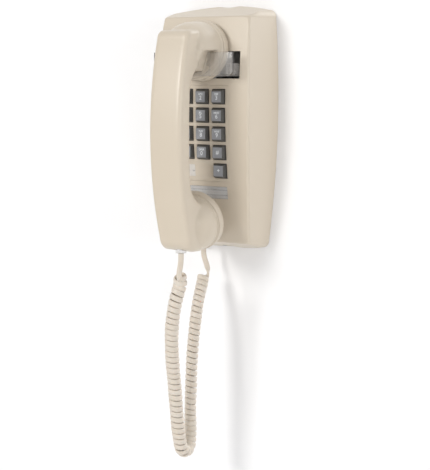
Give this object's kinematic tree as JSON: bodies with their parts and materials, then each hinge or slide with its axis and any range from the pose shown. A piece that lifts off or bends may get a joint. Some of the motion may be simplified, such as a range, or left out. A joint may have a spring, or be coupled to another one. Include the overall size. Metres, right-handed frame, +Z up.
{
  "type": "wall telephone",
  "caption": "Wall-hung push-button telephone in ivory plastic with a clear hook, hung-up handset and curly cord.",
  "frame": {"origin": "middle of the back face, on the wall", "axes": "+X to the user's right, +Y into the wall, +Z up"},
  "size_m": [0.108, 0.1183, 0.4359],
  "materials": {
    "ivory_plastic": "semi-gloss moulded",
    "white_plastic": "matte moulded",
    "key_plastic": "satin moulded",
    "clear_plastic": "clear moulded",
    "window_plastic": "clear sheet",
    "card_paper": "matte",
    "sticker_paper": "matte",
    "zinc_steel": "zinc plated",
    "screw_steel": "plated",
    "spring_steel": "bright wire",
    "aluminium_can": "satin",
    "brass": "polished",
    "black_plastic": "matte moulded",
    "mat_rubber": "matte",
    "board_green": "solder mask",
    "winding": "taped winding",
    "capacitor_film": "dipped",
    "cord_jacket": "satin jacket"
  },
  "bodies": {
    "case": {"housing": "ivory_plastic", "keypad_faceplate": "ivory_plastic", "keypad_frame": "white_plastic", "baseplate": "zinc_steel", "hook_bracket": "zinc_steel", "ringer_frame": "zinc_steel", "ringer_yoke": "zinc_steel", "board_standoffs": "brass", "gong_left": "brass", "gong_right": "brass", "cover_screw": "screw_steel", "keypad_screws": "screw_steel", "bracket_screws": "screw_steel", "gong_screws": "screw_steel", "hook_spring": "spring_steel", "line_jack": "black_plastic", "switch_body": "black_plastic", "contact_mat": "mat_rubber", "keypad_board": "board_green", "network_board": "board_green", "network_transformer": "winding", "capacitors": "capacitor_film", "terminal_block": "black_plastic", "ringer_coil": "winding", "housing_jack": "black_plastic", "housing_plug": "clear_plastic", "card_window": "window_plastic", "number_card": "card_paper", "icon_sticker": "sticker_paper", "handset_lead": "cord_jacket", "curly_cord": "cord_jacket", "housing_lead": "cord_jacket"},
    "handset": {"handset_shell": "ivory_plastic", "ear_cap": "ivory_plastic", "mouth_cap": "ivory_plastic", "receiver_unit": "aluminium_can", "transmitter_unit": "aluminium_can", "transmitter_cup": "white_plastic", "handset_jack": "ivory_plastic", "handset_plug": "clear_plastic"},
    "hook_assembly": {"hook": "clear_plastic", "hook_lever": "zinc_steel", "hook_pivot_pin": "zinc_steel"},
    "plunger": {"switch_plunger": "white_plastic"},
    "clapper_arm": {"clapper": "zinc_steel"},
    "loudness_lever": {"volume_lever": "black_plastic"},
    "key_1_body": {"key_1": "key_plastic"},
    "key_2_body": {"key_2": "key_plastic"},
    "key_3_body": {"key_3": "key_plastic"},
    "key_4_body": {"key_4": "key_plastic"},
    "key_5_body": {"key_5": "key_plastic"},
    "key_6_body": {"key_6": "key_plastic"},
    "key_7_body": {"key_7": "key_plastic"},
    "key_8_body": {"key_8": "key_plastic"},
    "key_9_body": {"key_9": "key_plastic"},
    "key_star_body": {"key_star": "key_plastic"},
    "key_0_body": {"key_0": "key_plastic"},
    "key_hash_body": {"key_hash": "key_plastic"},
    "key_extra_body": {"key_extra": "key_plastic"}
  },
  "joints": [
    {"name": "handset_lift", "type": "slide", "parent": "case", "child": "handset", "axis": [0, 0, 1], "range_m": [0, 0.035]},
    {"name": "hook_pivot", "type": "hinge", "parent": "case", "child": "hook_assembly", "pos_m": [0, -0.02, 0.06], "axis": [-1, 0, 0], "range_deg": [0, 8], "deforming": ["hook_spring"]},
    {"name": "plunger_slide", "type": "slide", "parent": "case", "child": "plunger", "axis": [0, 0, -1], "range_m": [0, 0.0017]},
    {"name": "clapper_swing", "type": "hinge", "parent": "case", "child": "clapper_arm", "pos_m": [0, -0.012, -0.052], "axis": [0, 1, 0], "range_deg": [-1.6, 1.6], "stiffness_Nm_per_rad": 0.02},
    {"name": "loudness_turn", "type": "hinge", "parent": "case", "child": "loudness_lever", "pos_m": [0, -0.009, -0.098], "axis": [0, 1, 0], "range_deg": [-12, 12]},
    {"name": "press_key_1", "type": "slide", "parent": "case", "child": "key_1_body", "axis": [0, 1, 0], "range_m": [0, 0.0022], "stiffness_N_per_m": 250},
    {"name": "press_key_2", "type": "slide", "parent": "case", "child": "key_2_body", "axis": [0, 1, 0], "range_m": [0, 0.0022], "stiffness_N_per_m": 250},
    {"name": "press_key_3", "type": "slide", "parent": "case", "child": "key_3_body", "axis": [0, 1, 0], "range_m": [0, 0.0022], "stiffness_N_per_m": 250},
    {"name": "press_key_4", "type": "slide", "parent": "case", "child": "key_4_body", "axis": [0, 1, 0], "range_m": [0, 0.0022], "stiffness_N_per_m": 250},
    {"name": "press_key_5", "type": "slide", "parent": "case", "child": "key_5_body", "axis": [0, 1, 0], "range_m": [0, 0.0022], "stiffness_N_per_m": 250},
    {"name": "press_key_6", "type": "slide", "parent": "case", "child": "key_6_body", "axis": [0, 1, 0], "range_m": [0, 0.0022], "stiffness_N_per_m": 250},
    {"name": "press_key_7", "type": "slide", "parent": "case", "child": "key_7_body", "axis": [0, 1, 0], "range_m": [0, 0.0022], "stiffness_N_per_m": 250},
    {"name": "press_key_8", "type": "slide", "parent": "case", "child": "key_8_body", "axis": [0, 1, 0], "range_m": [0, 0.0022], "stiffness_N_per_m": 250},
    {"name": "press_key_9", "type": "slide", "parent": "case", "child": "key_9_body", "axis": [0, 1, 0], "range_m": [0, 0.0022], "stiffness_N_per_m": 250},
    {"name": "press_key_star", "type": "slide", "parent": "case", "child": "key_star_body", "axis": [0, 1, 0], "range_m": [0, 0.0022], "stiffness_N_per_m": 250},
    {"name": "press_key_0", "type": "slide", "parent": "case", "child": "key_0_body", "axis": [0, 1, 0], "range_m": [0, 0.0022], "stiffness_N_per_m": 250},
    {"name": "press_key_hash", "type": "slide", "parent": "case", "child": "key_hash_body", "axis": [0, 1, 0], "range_m": [0, 0.0022], "stiffness_N_per_m": 250},
    {"name": "press_key_extra", "type": "slide", "parent": "case", "child": "key_extra_body", "axis": [0, 1, 0], "range_m": [0, 0.0022], "stiffness_N_per_m": 250}
  ],
  "couplings": [
    {"joint": "hook_pivot", "follows": "handset_lift", "rad_per_m": 3.9853},
    {"joint": "plunger_slide", "follows": "handset_lift", "ratio": 0.0475}
  ]
}
